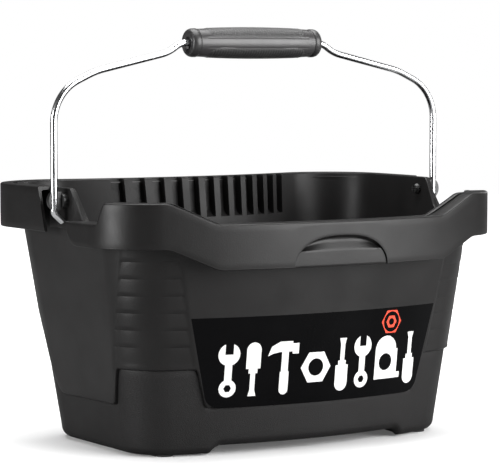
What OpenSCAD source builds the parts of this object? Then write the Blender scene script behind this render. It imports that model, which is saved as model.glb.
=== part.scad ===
// Tool bucket organizer: one moulded tub with a skirted rim and a row of tool slots,
// carried by a steel bail that swings on two grooved buttons and has a turning grip.
// Millimetres. X is the long way, -Y the low front, +Z up. The origin is on the floor
// in the middle, straight below the bail's axis.

/* [Skirt] */
// Half length of the skirt
skirt_a = 200; // [190:1:210]
// Front of the skirt at its corners
skirt_front = -121; // [-126:1:-116]
// Back of the skirt at its corners
skirt_back = 145; // [140:1:150]
// Corner radius of the skirt
skirt_r = 60; // [54:1:66]
// Thickness of the skirt and of its top flange
skirt_t = 2.8; // [2.4:0.1:3.4]
// Height of the skirt below the rim
skirt_drop = 38; // [34:1:40]

/* [Rim heights] */
// Top of the rim at the back
rim_back = 225; // [222:1:230]
// Top of the rim at the front corners
rim_corner = 216; // [212:1:218]
// Top of the low front and of the low part of each end
rim_low = 198; // [195:1:200]
// Half width of the low front
low_half = 114; // [108:1:118]
// Distance from the middle at which the front corners reach their full height
corner_half = 155; // [150:1:158]

/* [Tub] */
// Half length of the walls at the floor
base_a = 160; // [156:1:164]
// Half length of the walls under the flange
wall_a = 184; // [182:1:185]
// Front of the walls at the floor, at the corners
base_front = -86; // [-90:1:-82]
// Front of the walls under the flange, at the corners
wall_front = -107; // [-109:1:-105]
// Back of the walls at the floor, at the corners
base_back = 97; // [94:1:100]
// Back of the walls under the flange, at the corners
wall_back = 125; // [123:1:127]
// How far the base guard sits inside the walls above it
guard_step = 2.8; // [2.4:0.1:3.2]
// Wall thickness inside the base guard
wall_t = 2.8; // [2.4:0.1:3.4]
// Height of the floor's upper face
floor_z = 13; // [12:0.5:15]
// Height of the arches in the base, between the two runners
arch_h = 8; // [6:0.5:9]

/* [Base guard] */
// Height of the guard in the middle of each side
guard_low = 42; // [38:1:46]
// Height of the guard at the front corners
guard_front = 75; // [70:1:80]
// Height of the guard at the back corners
guard_back = 115; // [108:1:120]

/* [Tool slots] */
// Number of slots in the back rim
slots = 12; // [8:1:12]
// Centre of the widest slot, at the left
slot_start = -74; // [-76:1:-70]
// Distance from that slot to the next
slot_pitch = 20.3; // [19:0.1:20.5]
// How much less each further distance is
slot_step = 0.84; // [0.7:0.01:0.95]
// A slot's share of the distance to the next
slot_share = 0.6; // [0.5:0.05:0.65]
// Height of the lowest point of a slot
slot_z = 188; // [186:1:195]
// Depth of a slot, and radius of its scooped lower end
slot_depth = 8; // [6:0.5:9]

/* [Bail] */
// Height of the bail's axis
pivot_z = 214; // [213:0.5:215]
// Diameter of the wire
wire_d = 6; // [5.5:0.1:6]
// Distance of each leg from the middle
leg_x = 198.5; // [197:0.5:200]
// Height of the wire inside the grip
grip_z = 348; // [340:1:355]
// Length of the grip
grip_l = 134; // [120:1:136]
// Largest diameter of the grip
grip_d = 27; // [24:0.5:28]

/* [Pivot] */
// Diameter of the shaft that turns in the tub
pin_d = 8; // [7:0.1:9]
// Radial clearance of the shaft
pin_gap = 0.08; // [0.05:0.01:0.1]
// Diameter of the button's head
head_d = 16; // [15:0.5:17]

/* [Hidden] */
$fn = 48;
wall_top = 187;         // height at which the wall sizes above are measured
front_turn = 18;        // how far the front bows out, as the turn of its ends
back_turn = 16;         // how far the back bows in, as the turn of its ends
base_r = 44;            // corner radius of the walls at the floor
wall_r = 52;            // corner radius of the walls under the flange
base_round = 7;         // radius of the edge round the base
foot_gap = 1.2;         // how far the rubber pads stand below the runners
runner_x = 96;          // the runners start this far from the middle
plate_out = 187;        // outer face of the plates that carry the buttons
plate_t = 7;            // thickness of those plates
box_y = 15;             // front edge of the back skirt at the ends, at the ledge
box_lean = 12;          // how far that edge leans back by the rim
plate_top_y = -8.5;     // front edge of the pivot plate at the rim
plate_low_y = -29;      // and where it meets the low rim
tab_y = -23;            // back edge of the front skirt at the ends
tab_z = 203;            // height at which that edge turns straight up
ear_y = [-74, -81];     // the low rim rises to the front corner between these
edge_base = 97;         // half width of the front panel at the floor
edge_rise = 0.235;      // how much it gains per millimetre of height
label_z = [41, 119];    // lower and upper edge of the front label
plate_outline = [[plate_low_y, 190], [plate_low_y, rim_low], [plate_top_y, rim_back],
    [box_y + box_lean + 4, rim_back], [box_y + box_lean + 4, 190]];
film_t = 0.6;           // thickness of the label's film
print_t = 0.3;          // how far the print stands out from the film
scoop_half = 46;        // half width of the finger scoop
scoop_h = 27;           // height of the finger scoop
scoop_in = 5.6;         // depth of the finger scoop
scoop_wall = 2.4;       // wall round the finger scoop
foot_x = 131;           // distance of the rubber pads from the middle
foot_front = -50;       // middle of the front pads
foot_back = 58;         // middle of the back pads
foot_w = 16;            // width of a pad
foot_run = 34;          // distance between the middles of a pad's round ends
foot_t = 4.2;           // height of a pad
tail = [190.5, 196.5];  // X and Z of the wire's hooked end
neck = [86, 339.5];     // X and Z of the bend beside the grip
head_in = 192;          // inner face of a button's head
head_out = 204.5;       // outer face of a button's head
lip = 1.6;              // how far the groove's lips reach past the middle of the wire
cap_l = 8;              // length of a grip cap
core_l = grip_l - 2 * cap_l;
pad_depth = 2.4;        // depth of the soft pads in the grip's core
grip_gap = 0.08;        // radial clearance between the grip and the wire
far = 300;              // beyond everything

// Sizes of the walls at height z: half length, front, back, corner radius.
function mix(a, b, z) = a + (b - a) * z / wall_top;
function wall(z) = [mix(base_a, wall_a, z), mix(base_front, wall_front, z),
    mix(base_back, wall_back, z), mix(base_r, wall_r, z)];

// An outline drawn g inside the given sizes. The front is an arc that bows out and
// the back an arc that bows in, each tangent to the rounded corners.
function arc(c, r, a, b, n) = [for (i = [0:n]) let (t = a + (b - a) * i / n)
    [c[0] + r * cos(t), c[1] + r * sin(t)]];
function plan(s, g = 0) = let (
    cx = s[0] - s[3], yf = s[1] + s[3], yb = s[2] - s[3], r = s[3] - g,
    rf = (cx + r * sin(front_turn)) / sin(front_turn),
    cf = yf - r * cos(front_turn) + rf * cos(front_turn),
    rb = (cx - r * sin(back_turn)) / sin(back_turn),
    cb = yb + r * cos(back_turn) + rb * cos(back_turn)) concat(
    arc([-cx, yf], r, 180, 270 - front_turn, 7),
    [for (i = [1:13]) let (t = 270 - front_turn + 2 * front_turn * i / 14)
        [rf * cos(t), cf + rf * sin(t)]],
    arc([cx, yf], r, 270 + front_turn, 360, 7),
    arc([cx, yb], r, 0, 90 + back_turn, 8),
    [for (i = [1:11]) let (t = 270 + back_turn - 2 * back_turn * i / 12)
        [rb * cos(t), cb + rb * sin(t)]],
    arc([-cx, yb], r, 90 - back_turn, 180, 8));

// A closed solid through outlines that all have the same number of points.
// Each level is [height, how far inside the walls].
module loft(levels) {
    rings = [for (l = levels) plan(wall(l[0]), l[1])];
    n = len(rings[0]);
    m = len(rings);
    points = [for (k = [0:m - 1]) for (p = rings[k]) [p[0], p[1], levels[k][0]]];
    sides = [for (k = [0:m - 2]) for (i = [0:n - 1]) let (j = (i + 1) % n)
        each [[k * n + i, k * n + j, (k + 1) * n + j],
            [k * n + i, (k + 1) * n + j, (k + 1) * n + i]]];
    bottom = [[for (i = [n - 1:-1:0]) i]];
    top = [[for (i = [0:n - 1]) (m - 1) * n + i]];
    polyhedron(points = points, faces = [for (f = concat(bottom, sides, top))
        [for (i = [len(f) - 1:-1:0]) f[i]]]);
}

function skirt_size() = [skirt_a, skirt_front, skirt_back, skirt_r];

module skirt_prism(g, z0, z1) {
    translate([0, 0, z0]) linear_extrude(z1 - z0) polygon(plan(skirt_size(), g));
}

// Prisms across the bucket, from outlines in XZ or in YZ.
module across_y(points, y0, y1) {
    translate([0, y1, 0]) rotate([90, 0, 0]) linear_extrude(y1 - y0) polygon(points);
}
module across_x(points, x0, x1) {
    translate([x0, 0, 0]) rotate([90, 0, 90]) linear_extrude(x1 - x0) polygon(points);
}
module both_ends() {
    children();
    mirror([1, 0, 0]) children();
}

// Everything below the rim line, lowered by d.
module rim_top(d) {
    difference() {
        across_x([[-far, 0], [-far, rim_corner - d], [ear_y[1], rim_corner - d],
            [ear_y[0], rim_low - d], [plate_low_y, rim_low - d], [plate_top_y, rim_back - d],
            [far, rim_back - d], [far, 0]], -far, far);
        across_y([[-corner_half, rim_corner - d], [-low_half, rim_low - d],
            [low_half, rim_low - d], [corner_half, rim_corner - d],
            [corner_half, far], [-corner_half, far]], -far, ear_y[0] + 20);
    }
}

// Everything above the skirt's lower edge: the front with its corners, and the back.
// Between them the ends are open for the buttons.
module skirt_zone() {
    low = rim_low - skirt_drop;
    high = rim_corner - skirt_drop;
    across_y([[-far, high], [-corner_half, high], [-low_half, low], [low_half, low],
        [corner_half, high], [far, high], [far, far], [-far, far]], -far, -60);
    across_x([[-61, high], [tab_y - 20, high], [tab_y - 6, high + 5], [tab_y - 1, high + 11],
        [tab_y, tab_z - 6], [tab_y, far], [-61, far]], -far, far);
    across_x([[box_y, rim_back - skirt_drop], [box_y + box_lean, rim_back],
        [box_y + box_lean, far], [far, far], [far, rim_back - skirt_drop]], -far, far);
}

// The two low zones and four high corners that the base guard covers.
module guard_zone() {
    translate([-far, -far, -1]) cube([2 * far, 2 * far, guard_low + 1]);
    both_ends() {
        guard_corner(guard_front, -1, -43, 14);
        guard_corner(guard_back, 1, 52, 18);
    }
}
// One corner: top is its height, side -1 for the front and 1 for the back.
module guard_corner(top, side, y0, lean) {
    span = top - guard_low;
    low_x = edge_base + edge_rise * guard_low;
    intersection() {
        across_y([[low_x, guard_low - 1], [edge_base + edge_rise * top, top], [far, top],
            [far, guard_low - 1]], -far, far);
        across_x([[y0, guard_low - 1], [y0 + side * lean * span / 33 * 0.7, top],
            [side * far, top], [side * far, guard_low - 1]], 0, far);
    }
}

// The back's inner face at x, g inside the walls and at height z.
function back_y(x, z, g) = let (s = wall(z), r = s[3] - g,
    rb = (s[0] - s[3] - r * sin(back_turn)) / sin(back_turn))
    s[2] - s[3] + (r + rb) * cos(back_turn) - sqrt(rb * rb - x * x);

// Tool slots: open to the inside and at the top, with scooped lower ends. The widest
// is at the left, and each is a little narrower than the one before.
function slot_x(i) = slot_start + slot_pitch * i - slot_step * i * (i - 1) / 2;
function slot_w(i) = slot_share * (slot_pitch - slot_step * i);
module tool_slots() {
    mouth = guard_step + wall_t;
    for (i = [0:slots - 1]) {
        y = back_y(slot_x(i), slot_z + slot_depth, mouth);
        translate([slot_x(i) - slot_w(i) / 2, y, slot_z + slot_depth]) {
            rotate([0, 90, 0]) cylinder(r = slot_depth, h = slot_w(i));
            translate([0, -slot_depth, 0]) cube([slot_w(i), 2 * slot_depth, far]);
        }
    }
}

// The finger scoop in the front skirt: an arch, drawn g larger.
module scoop(g, y0, y1) {
    z0 = rim_low - skirt_drop;
    points = [for (i = [0:20]) let (t = 180 * i / 20)
        [(scoop_half + g) * cos(t), z0 + (scoop_h + g) * pow(sin(t), 0.75)]];
    across_y(concat([[scoop_half + g, z0 - 9 * (g > 0 ? 0 : 1)]], points,
        [[-scoop_half - g, z0 - 9 * (g > 0 ? 0 : 1)]]), y0, y1);
}

module foot_at(sx, sy) {
    translate([sx * foot_x, sy > 0 ? foot_back : foot_front, 0]) children();
}
module foot_shape(h) {
    linear_extrude(h) union() {
        square([foot_w, foot_run], center = true);
        for (y = [-1, 1]) translate([0, y * foot_run / 2]) circle(d = foot_w);
    }
}
module every_foot() {
    for (sx = [-1, 1]) for (sy = [-1, 1]) foot_at(sx, sy) children();
}

module label_outline(g) {
    low = edge_base + edge_rise * label_z[0] - g;
    high = edge_base + edge_rise * label_z[1] - g;
    r = 10 - g;
    z0 = label_z[0] + g;
    polygon(concat([[-high, label_z[1] - g], [-low - 1, z0 + r + 2]],
        arc([-low + r, z0 + r], r, 180, 270, 5), arc([low - r, z0 + r], r, 270, 360, 5),
        [[low + 1, z0 + r + 2], [high, label_z[1] - g]]));
}
// A skin of the front wall, from g0 to g1 inside it, under an outline in XZ.
module front_skin(g0, g1) {
    intersection() {
        difference() {
            loft([[20, g0], [150, g0]]);
            loft([[19, g1], [20, g1], [150, g1], [151, g1]]);
        }
        translate([0, -60, 0]) rotate([90, 0, 0]) linear_extrude(100) children();
    }
}

// Skirt, flange and upper walls, cut to the rim line.
module rim_and_walls() {
    intersection() {
        union() {
            difference() {
                loft([[30, 0], [rim_back + 1, 0]]);
                guard_zone();
                both_ends() across_x(plate_outline, plate_out, far);
            }
            intersection() {
                union() {
                    difference() {
                        skirt_prism(0, 150, rim_back + 2);
                        skirt_prism(skirt_t, 149, rim_back + 3);
                    }
                    difference() {
                        skirt_prism(1, 151, rim_back + 1.5);
                        rim_top(skirt_t);
                    }
                }
                skirt_zone();
            }
        }
        rim_top(0);
    }
}

module tub() {
    color([0.17, 0.165, 0.165])
    difference() {
        union() {
            difference() {
                union() {
                    // Base guard, inside the walls that step out above it.
                    loft([[foot_gap, guard_step + base_round], [foot_gap + 2, guard_step + 2.6],
                        [foot_gap + base_round, guard_step], [wall_top, guard_step]]);
                    rim_and_walls();
                    // Ledge behind the tool slots.
                    intersection() {
                        loft([[slot_z - 4, -6], [rim_back - 1, -6]]);
                        translate([slot_x(0) - 9, 60, 0])
                            cube([slot_x(slots - 1) - slot_x(0) + 15, far, far]);
                    }
                    // Backing of the finger scoop.
                    intersection() {
                        scoop(scoop_wall, -far, -110);
                        difference() {
                            skirt_prism(skirt_t / 2, rim_low - skirt_drop, rim_low - 1);
                            skirt_prism(scoop_in + scoop_wall, 100, 300);
                        }
                    }
                }
                loft([[floor_z, guard_step + wall_t], [rim_back + 4, guard_step + wall_t]]);
            }
            // The plates that carry the buttons.
            both_ends() across_x(plate_outline, plate_out - plate_t, plate_out);
        }
        // Arches between the runners, front and back.
        across_y([[-runner_x - arch_h - 3, -1], [-runner_x - 6, foot_gap],
            [-runner_x, arch_h], [runner_x, arch_h], [runner_x + 6, foot_gap],
            [runner_x + arch_h + 3, -1]], -far, far);
        tool_slots();
        // Finger scoop.
        difference() {
            scoop(0, -far, -115);
            skirt_prism(scoop_in, 99, 301);
        }
        // Recess of the front label.
        front_skin(-1, film_t) label_outline(0);
        // Bores for the buttons, and pockets for the rubber pads.
        translate([-far, 0, pivot_z]) rotate([0, 90, 0])
            cylinder(d = pin_d + 2 * pin_gap, h = 2 * far);
        every_foot() translate([0, 0, -1]) foot_shape(foot_t + 1);
    }
}

module foot_pad() {
    color([0.1, 0.1, 0.1])
    difference() {
        foot_shape(foot_t);
        // Grooves across the sole.
        for (i = [-2:2]) translate([-far, 9 * i - 1, -1]) cube([2 * far, 2, 1.7]);
    }
}
module foot_pad_front_left() { foot_at(-1, -1) foot_pad(); }
module foot_pad_front_right() { foot_at(1, -1) foot_pad(); }
module foot_pad_back_left() { foot_at(-1, 1) foot_pad(); }
module foot_pad_back_right() { foot_at(1, 1) foot_pad(); }

module label_film() {
    color([0.05, 0.05, 0.055]) front_skin(0, film_t) label_outline(0.2);
}
// The label's print: a row of plain tool shapes, and a hexagonal nut's outline.
module wrench() {
    difference() {
        union() {
            translate([0, 87]) circle(9.5);
            translate([-3.2, 57]) square([6.4, 26]);
            translate([0, 58]) circle(7.5);
        }
        translate([-3.6, 87]) square([7.2, 12]);
        translate([0, 58]) circle(3.4, $fn = 6);
    }
}
module screwdriver() {
    translate([0, 90]) circle(6.5);
    translate([-6.5, 74]) square([13, 16]);
    translate([-4, 70]) square([8, 6]);
    polygon([[-2.2, 72], [-2.2, 56], [-3.6, 50.5], [3.6, 50.5], [2.2, 56], [2.2, 72]]);
}
module hammer() {
    polygon([[-15, 84], [-12, 92], [-4, 96], [8, 96], [8, 94], [14, 94], [14, 85], [8, 85],
        [8, 87], [-4, 87], [-10, 86]]);
    translate([-2, 62]) square([6.4, 26]);
    translate([-3, 54]) square([8.4, 16]);
    translate([1.2, 54.5]) circle(4.2);
}
module nut(r, hole) {
    difference() {
        circle(r, $fn = 6);
        circle(hole);
    }
}
module tape() {
    difference() {
        union() {
            translate([-13, 56]) square([26, 26]);
            translate([-3, 56]) square([20, 5]);
            translate([-1, 82]) intersection() {
                circle(12);
                translate([-12, 0]) square([24, 12]);
            }
        }
        translate([-1, 71]) circle(7.5);
    }
}
module upside_down() {
    translate([0, 146]) mirror([0, 1]) children();
}
module tool_row() {
    translate([-90, 0]) wrench();
    translate([-68, 0]) screwdriver();
    translate([-40, 0]) hammer();
    translate([-8, 72]) nut(15, 7.5);
    translate([19, 0]) upside_down() screwdriver();
    translate([41, 0]) wrench();
    translate([69, 0]) tape();
    translate([97, 0]) upside_down() screwdriver();
}
module label_print() {
    color("white") front_skin(-print_t, 0) tool_row();
}
module label_emblem() {
    color([0.85, 0.16, 0.1]) front_skin(-print_t, 0) translate([72, 106.3]) {
        nut(11.5, 9);
        nut(6, 3);
    }
}

function unit(v) = v / norm(v);
// The points of an arc of radius r at b, on the way from a to c, about 9 degrees apart.
function bend(a, b, c, r) = let (
    u = unit(a - b), v = unit(c - b), half = acos(u * v) / 2,
    centre = b + unit(u + v) * r / sin(half), p = b + u * r / tan(half),
    start = atan2(p[1] - centre[1], p[0] - centre[0]),
    turn = (u[0] * v[1] - u[1] * v[0] > 0 ? -1 : 1) * (180 - 2 * half),
    n = ceil(abs(turn) / 9))
    [for (i = [0:n]) centre + r * [cos(start + turn * i / n), sin(start + turn * i / n)]];

module bail_half() {
    foot = [leg_x, 203.5];
    inner = 60;
    route = [tail, foot, [leg_x, 305], [158, 323.5], neck, [inner + 14, grip_z],
        [inner + 1, grip_z]];
    radii = [5, 40, 70, 40, 20];
    line = concat([tail], [for (i = [1:5]) each bend(route[i - 1], route[i], route[i + 1],
        radii[i - 1])], [[inner + 1, grip_z], [inner - 2, grip_z]]);
    m = len(line);
    n = 24;
    points = [for (k = [0:m - 1]) let (
        d = unit(line[min(k + 1, m - 1)] - line[max(k - 1, 0)]),
        r = k == m - 1 ? 0.9 * wire_d / 2 : wire_d / 2)
        each [for (i = [0:n - 1]) let (t = 360 * i / n)
            [line[k][0] - d[1] * r * cos(t), r * sin(t), line[k][1] + d[0] * r * cos(t)]]];
    sides = [for (k = [0:m - 2]) for (i = [0:n - 1]) let (j = (i + 1) % n)
        each [[k * n + i, k * n + j, (k + 1) * n + j],
            [k * n + i, (k + 1) * n + j, (k + 1) * n + i]]];
    polyhedron(points = points, faces = concat([[for (i = [n - 1:-1:0]) i]], sides,
        [[for (i = [0:n - 1]) (m - 1) * n + i]]));
    translate([-1, 0, grip_z]) rotate([0, 90, 0]) cylinder(d = wire_d, h = inner + 1, $fn = 48);
}
module bail_wire() {
    color([0.8, 0.81, 0.82]) union() {
        bail_half();
        mirror([1, 0, 0]) bail_half();
    }
}

module dome(r, h) {
    rotate_extrude($fn = 64) polygon(concat([[0, 0]],
        [for (i = [0:8]) [r * cos(10 * i), h * sin(10 * i)]], [[0, h]]));
}
// Button on the right: a shaft through the plate with a split barbed end, a collar,
// and a domed head. The wire's leg is pressed into a groove in the head's flat front,
// whose lips reach a little past the middle of the wire.
module pivot_button() {
    inner = plate_out - plate_t;
    translate([0, 0, pivot_z]) difference() {
        union() {
            translate([inner - 3, 0, 0]) rotate([0, 90, 0]) cylinder(d = pin_d, h = head_in - inner + 3);
            translate([inner - 3.2, 0, 0]) rotate([0, 90, 0]) cylinder(d1 = 7.4, d2 = 10, h = 3);
            translate([plate_out + 0.15, 0, 0]) rotate([0, 90, 0]) cylinder(d = 12, h = 6);
            translate([head_in, 0, 0]) rotate([0, 90, 0]) cylinder(d = head_d, h = 7);
            translate([head_in + 7, 0, 0]) rotate([0, 90, 0])
                dome(head_d / 2, head_out - head_in - 7);
        }
        translate([leg_x, 0, -20]) cylinder(d = wire_d, h = 40, $fn = 24);
        translate([head_in, -lip - 20, -20]) cube([20, 20, 40]);
        translate([inner - 5, -0.6, -20]) cube([8, 1.2, 40]);
        translate([inner - 5, -20, -0.6]) cube([8, 40, 1.2]);
    }
}
module pivot_button_right() { color([0.13, 0.13, 0.13]) pivot_button(); }
module pivot_button_left() { color([0.13, 0.13, 0.13]) mirror([1, 0, 0]) pivot_button(); }

// The grip, turned about the wire: a barrel with slimmer ends.
function barrel(x) = grip_d / 2 - 1.4 * pow(abs(x) / (core_l / 2), 2);
module barrel_solid(g, l) {
    rotate([0, 90, 0]) rotate_extrude($fn = 64) polygon(concat([[0, -l / 2]],
        [for (i = [0:16]) let (x = -l / 2 + l * i / 16) [barrel(x) - g, x]], [[0, l / 2]]));
}
// A window along the grip in which a soft pad lies, on the upper or the lower side.
module pad_window(g) {
    half = 50 - g;
    translate([0, 0, 4.6 + g]) linear_extrude(40) union() {
        square([2 * half - 16, 40], center = true);
        square([2 * half, 10], center = true);
    }
}
module grip_core() {
    color([0.2, 0.2, 0.2]) translate([0, 0, grip_z]) difference() {
        barrel_solid(0, core_l);
        for (s = [0, 1]) mirror([0, 0, s]) intersection() {
            pad_window(0);
            difference() {
                barrel_solid(-2, core_l);
                barrel_solid(pad_depth, core_l);
            }
        }
        translate([-far, 0, 0]) rotate([0, 90, 0]) cylinder(d = wire_d + 2 * grip_gap, h = 2 * far);
    }
}
module grip_pad(s) {
    color([0.14, 0.14, 0.14]) translate([0, 0, grip_z]) mirror([0, 0, s]) intersection() {
        pad_window(0.1);
        difference() {
            barrel_solid(-0.4, core_l);
            barrel_solid(pad_depth - 0.1, core_l);
            for (i = [-7:7]) translate([6 * i, 0, 0]) rotate([0, 90, 0]) difference() {
                cylinder(r = 20, h = 1.6, center = true);
                cylinder(r = barrel(6 * i) - 0.4, h = 3, center = true);
            }
        }
    }
}
module grip_pad_upper() { grip_pad(0); }
module grip_pad_lower() { grip_pad(1); }
module grip_cap() {
    r = barrel(core_l / 2);
    bore = wire_d / 2 + grip_gap;
    translate([core_l / 2, 0, grip_z]) rotate([0, 90, 0]) rotate_extrude($fn = 64)
        polygon(concat([[bore, 0], [r + 0.5, 0], [r + 0.5, 3]],
        [for (i = [1:9]) [r - 2.5 + 3 * cos(10 * i), 3 + 5 * sin(10 * i)]],
        [[wire_d / 2 + 3, cap_l], [bore + 1.1, 5], [bore, 5]]));
}
module grip_cap_right() { color([0.12, 0.12, 0.12]) grip_cap(); }
module grip_cap_left() { color([0.12, 0.12, 0.12]) mirror([1, 0, 0]) grip_cap(); }

tub();
foot_pad_front_left();
foot_pad_front_right();
foot_pad_back_left();
foot_pad_back_right();
label_film();
label_print();
label_emblem();
bail_wire();
pivot_button_left();
pivot_button_right();
grip_core();
grip_pad_upper();
grip_pad_lower();
grip_cap_left();
grip_cap_right();
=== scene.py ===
"""Tool bucket organizer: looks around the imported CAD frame.

Lengths are millimetres and become metres in build_mesh(). The camera, the lights and
the materials use metres. The tub is a fine swept mesh on the same outlines as the CAD
tub. The bail wire, the label film and the grip's pieces are smooth versions of theirs.
The foot pads, the label's print and the pivot buttons are the CAD's own meshes.
"""

import math

import bpy
import numpy as np
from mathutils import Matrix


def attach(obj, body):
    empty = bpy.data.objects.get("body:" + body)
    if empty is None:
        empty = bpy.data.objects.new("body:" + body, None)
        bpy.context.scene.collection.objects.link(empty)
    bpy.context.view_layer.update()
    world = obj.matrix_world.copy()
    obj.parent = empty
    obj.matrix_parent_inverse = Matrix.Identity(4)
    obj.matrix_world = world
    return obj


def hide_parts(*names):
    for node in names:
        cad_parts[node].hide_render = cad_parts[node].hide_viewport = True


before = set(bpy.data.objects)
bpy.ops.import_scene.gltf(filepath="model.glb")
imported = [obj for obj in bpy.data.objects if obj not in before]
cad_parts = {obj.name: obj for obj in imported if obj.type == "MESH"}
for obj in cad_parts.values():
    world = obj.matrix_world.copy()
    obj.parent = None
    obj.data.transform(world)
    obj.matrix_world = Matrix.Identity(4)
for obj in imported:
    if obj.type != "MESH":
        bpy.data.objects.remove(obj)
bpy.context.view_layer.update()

MM = 0.001


# ---------------------------------------------------------------- driving sizes
# Outlines in plan: half length, front, back, corner radius
SKIRT = (200.0, -121.0, 145.0, 60.0)
BASE = (160.0, -86.0, 97.0, 44.0)  # the walls at the floor
LEDGE = (184.0, -107.0, 125.0, 52.0)  # the walls at WALL_TOP
WALL_TOP = 187.0
FRONT_TURN = math.radians(18.0)  # the front bows out, and turns twice this in all
BACK_TURN = math.radians(16.0)  # the back bows in
FAR = 300.0  # beyond the tub on any side

# Walls
WALL_IN = 5.6  # inner face, inside the walls' outline
FLOOR_Z = 13.0
MIDDLE_TOP = 90.0  # the plain middle ends here, below the first of the fine lines
SHINGLES = [94.5 + 14.5 * i for i in range(6)]  # the fine lines of the front corners
FLOOR_ROUND = 9.0  # where the inner faces meet the floor
RIM_ROUND = 1.3

# Base guard, arch and runners
GUARD_STEP = 2.8  # how far it lies inside the walls' outline
GUARD_LOW, GUARD_SIDE, GUARD_BACK = 42.0, 75.0, 115.0  # its top line
GUARD_ROWS = 18  # how many of wall_rows() lie on it
FOOT_GAP = 1.2  # the underside at the corners
ARCH_H = 8.0  # the underside between the runners
RUNNER_X = 96.0
RUNNER_IN, RUNNER_OUT = -1.0, 9.0  # the ramp beside a runner
BASE_ROUND = 7.0

# Rim: its heights, and where it changes from one to the next
RIM_BACK, RIM_CORNER, RIM_LOW = 225.0, 216.0, 198.0
LOW_HALF, CORNER_HALF = 114.0, 155.0  # along the front
EAR_Y = (-74.0, -81.0)  # along the sides

# Skirts
SKIRT_T = 2.8
SKIRT_DROP = 38.0  # from the rim to the lower edge
LIP_ROUND, FOOT_ROUND = 1.6, 0.8  # the upper and the lower edge
TAB_Y = -23.0  # where the front skirt ends
TAB_CURVE, TAB_RISE = 20.0, 15.0  # its lower edge curves up to that end
SIDE_FROM = -60.0  # behind this its edges follow the sides
BOX_Y, BOX_LEAN = 15.0, 12.0  # the back skirt's lower front corner, and its lean
SCOOP_HALF, SCOOP_DEPTH, SCOOP_SHELF = 47.0, 4.6, 13.0

# Plates beside the bail's legs
PLATE_LOW_Y, PLATE_TOP_Y, PLATE_BACK_Y = -29.0, -8.5, 31.0
PLATE_Z = 190.0
PLATE_OUT, PLATE_SHOWN = 187.0, 3.0  # the rest of its thickness lies in the wall

# Tool slots
SLOTS = 12
SLOT_START, SLOT_PITCH, SLOT_STEP, SLOT_SHARE = -74.0, 20.3, 0.84, 0.6
SLOT_Z, SLOT_DEPTH = 188.0, 8.0
SLOT_MIDDLE = SLOT_Z + 15.0  # the height at which they are laid out
BAND_X, BAND_HALF, BAND_T = 14.0, 108.0, 6.0  # the thicker wall behind them

# Label
LABEL_Z = (41.0, 119.0)
FILM_EDGE = 0.3  # the film ends this far inside the recess
FILM_FRONT, FILM_BACK = -0.12, 0.45  # insets of its two faces from the wall
FILM_CORNER = 10.0

# Bail and grip
LEG_X, GRIP_Z = 198.5, 348.0
WIRE_R, WIRE_SIDES = 3.0, 28
WIRE_TIP, WIRE_TIP_R = 0.7, 0.72 * WIRE_R  # the chamfer at the wire's ends
CORE_HALF = 59.0
BORE_R = WIRE_R + 0.1
PAD_EDGE = 4.75  # a pad starts this far above the grip's middle
PAD_T, PAD_HALF, PAD_CORNER = 1.6, 49.5, 8.0
RIB_H, RIB_PITCH = 0.32, 2.6  # the pads' fine ribs


# ---------------------------------------------------------------- scene helpers
def smooth(a, b, v):
    """0 below a, 1 above b, with a soft ramp between them."""
    t = np.clip((np.asarray(v, float) - a) / (b - a), 0.0, 1.0)
    return t * t * (3.0 - 2.0 * t)


def quarter_turn(steps, first=0):
    """(sine, cosine) in even steps of a quarter turn, from number first on."""
    turns = [math.radians(90 * k / steps) for k in range(first, steps + 1)]
    return [(math.sin(t), math.cos(t)) for t in turns]


def link(obj):
    bpy.context.scene.collection.objects.link(obj)
    return obj


def build_mesh(name, points, faces, sharp_deg=38.0):
    """A mesh object from points in millimetres. Faces are lists of point numbers."""
    mesh = bpy.data.meshes.new(name)
    mesh.from_pydata([tuple(p) for p in np.asarray(points, float) * MM], [], faces)
    mesh.validate()
    mesh.polygons.foreach_set("use_smooth", [True] * len(mesh.polygons))
    mesh.update()
    mesh.set_sharp_from_angle(angle=math.radians(sharp_deg))
    return link(bpy.data.objects.new(name, mesh))


def grid_faces(rows, cols, close_cols, start=0, flip=False):
    """Quads over a grid of points that is stored row by row."""
    faces = []
    for r in range(rows - 1):
        for c in range(cols if close_cols else cols - 1):
            d = (c + 1) % cols
            quad = [r * cols + c, r * cols + d, (r + 1) * cols + d, (r + 1) * cols + c]
            quad = [start + q for q in quad]
            faces.append(quad[::-1] if flip else quad)
    return faces


def sheet_faces(rows, cols, flip=False):
    """Faces of a closed sheet whose two sides are grids of points, one after the other."""
    back = rows * cols
    faces = grid_faces(rows, cols, False, flip=True) + grid_faces(rows, cols, False, start=back)
    for c in range(cols - 1):
        e = back - cols + c
        faces.append([c, c + 1, back + c + 1, back + c])
        faces.append([e + 1, e, back + e, back + e + 1])
    for r in range(rows - 1):
        a, b = r * cols, (r + 1) * cols
        faces.append([b, a, back + a, back + b])
        a, b = a + cols - 1, b + cols - 1
        faces.append([a, b, back + b, back + a])
    return [f[::-1] for f in faces] if flip else faces


def ring_faces(rings, cols):
    """Faces of a closed solid from rings of points, its two ends flat."""
    faces = grid_faces(rings, cols, True)
    faces.append(list(range(cols))[::-1])
    faces.append([(rings - 1) * cols + k for k in range(cols)])
    return faces


# ---------------------------------------------------------------- outlines
def walls_at(z):
    """Sizes of the walls' outline at height z."""
    z = np.asarray(z, float)
    return tuple(b + (t - b) * z / WALL_TOP for b, t in zip(BASE, LEDGE))


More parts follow.
